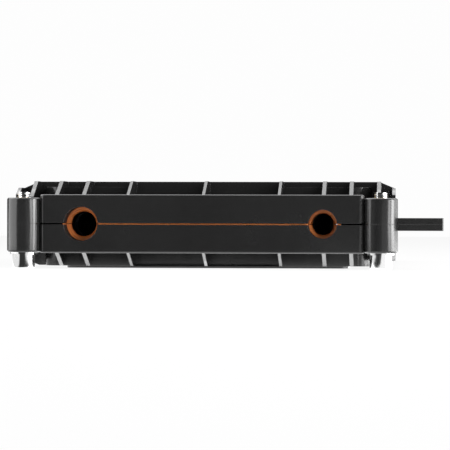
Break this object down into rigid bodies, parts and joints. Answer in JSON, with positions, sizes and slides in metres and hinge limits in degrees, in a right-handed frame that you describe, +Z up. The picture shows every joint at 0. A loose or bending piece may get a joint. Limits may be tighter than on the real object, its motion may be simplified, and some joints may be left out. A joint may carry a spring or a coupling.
{
  "type": "fibre splice closure",
  "caption": "Flat in-line fibre splice closure: two ribbed plastic shells bolted over split rubber end seals, with cable ports at both ends, clamps and hinged splice trays inside.",
  "frame": {"origin": "middle of the flat pad under the lower shell, on which the closure rests", "axes": "+Z up through the parting plane, +Y along the closure towards its rear ports, +X towards the side with the hanger lugs"},
  "size_m": [0.254, 0.3716, 0.0518],
  "materials": {
    "shell_plastic": "satin",
    "seal_rubber": "matte",
    "gasket_rubber": "matte",
    "stainless_steel": "satin",
    "bracket_steel": "satin",
    "brass": "satin",
    "tray_plastic": "satin",
    "clear_plastic": "clear",
    "holder_rubber": "matte",
    "sleeve_plastic": "gloss",
    "clamp_plastic": "satin"
  },
  "bodies": {
    "base": {"bolt_left_front": "stainless_steel", "bolt_left_mid_front": "stainless_steel", "bolt_left_mid_rear": "stainless_steel", "bolt_left_rear": "stainless_steel", "bolt_right_front": "stainless_steel", "bolt_right_mid_front": "stainless_steel", "bolt_right_mid_rear": "stainless_steel", "bolt_right_rear": "stainless_steel", "bolt_washers": "stainless_steel", "bracket_screws": "stainless_steel", "clamp_screws": "stainless_steel", "front_left_clamp_saddle": "clamp_plastic", "front_left_clamp_strap": "clamp_plastic", "front_lower_seal": "seal_rubber", "front_right_clamp_saddle": "clamp_plastic", "front_right_clamp_strap": "clamp_plastic", "front_strength_clamp": "brass", "hinge_bracket": "bracket_steel", "lower_hinge_pin": "stainless_steel", "lower_shell": "shell_plastic", "rear_left_clamp_saddle": "clamp_plastic", "rear_left_clamp_strap": "clamp_plastic", "rear_lower_seal": "seal_rubber", "rear_right_clamp_saddle": "clamp_plastic", "rear_right_clamp_strap": "clamp_plastic", "rear_strength_clamp": "brass", "side_gaskets": "gasket_rubber", "strength_screws": "stainless_steel", "upper_hinge_pin": "stainless_steel"},
    "cover": {"upper_shell": "shell_plastic", "front_upper_seal": "seal_rubber", "rear_upper_seal": "seal_rubber", "threaded_inserts": "brass"},
    "lower_tray": {"lower_tray": "tray_plastic", "lower_splice_holder": "holder_rubber", "lower_splice_sleeves": "sleeve_plastic"},
    "upper_tray": {"upper_tray": "tray_plastic", "upper_splice_holder": "holder_rubber", "upper_splice_sleeves": "sleeve_plastic", "tray_lid": "clear_plastic"}
  },
  "joints": [
    {"name": "cover_lift", "type": "slide", "parent": "base", "child": "cover", "axis": [0, 0, 1], "range_m": [0, 0.2]},
    {"name": "lower_tray_swing", "type": "hinge", "parent": "base", "child": "lower_tray", "pos_m": [0, 0.1, 0.0235], "axis": [-1, 0, 0], "range_deg": [0, 30]},
    {"name": "upper_tray_swing", "type": "hinge", "parent": "base", "child": "upper_tray", "pos_m": [0, 0.108, 0.0328], "axis": [-1, 0, 0], "range_deg": [0, 55]}
  ],
  "couplings": [
    {"joint": "lower_tray_swing", "follows": "cover_lift", "rad_per_m": 2.6},
    {"joint": "upper_tray_swing", "follows": "cover_lift", "rad_per_m": 4.79}
  ]
}
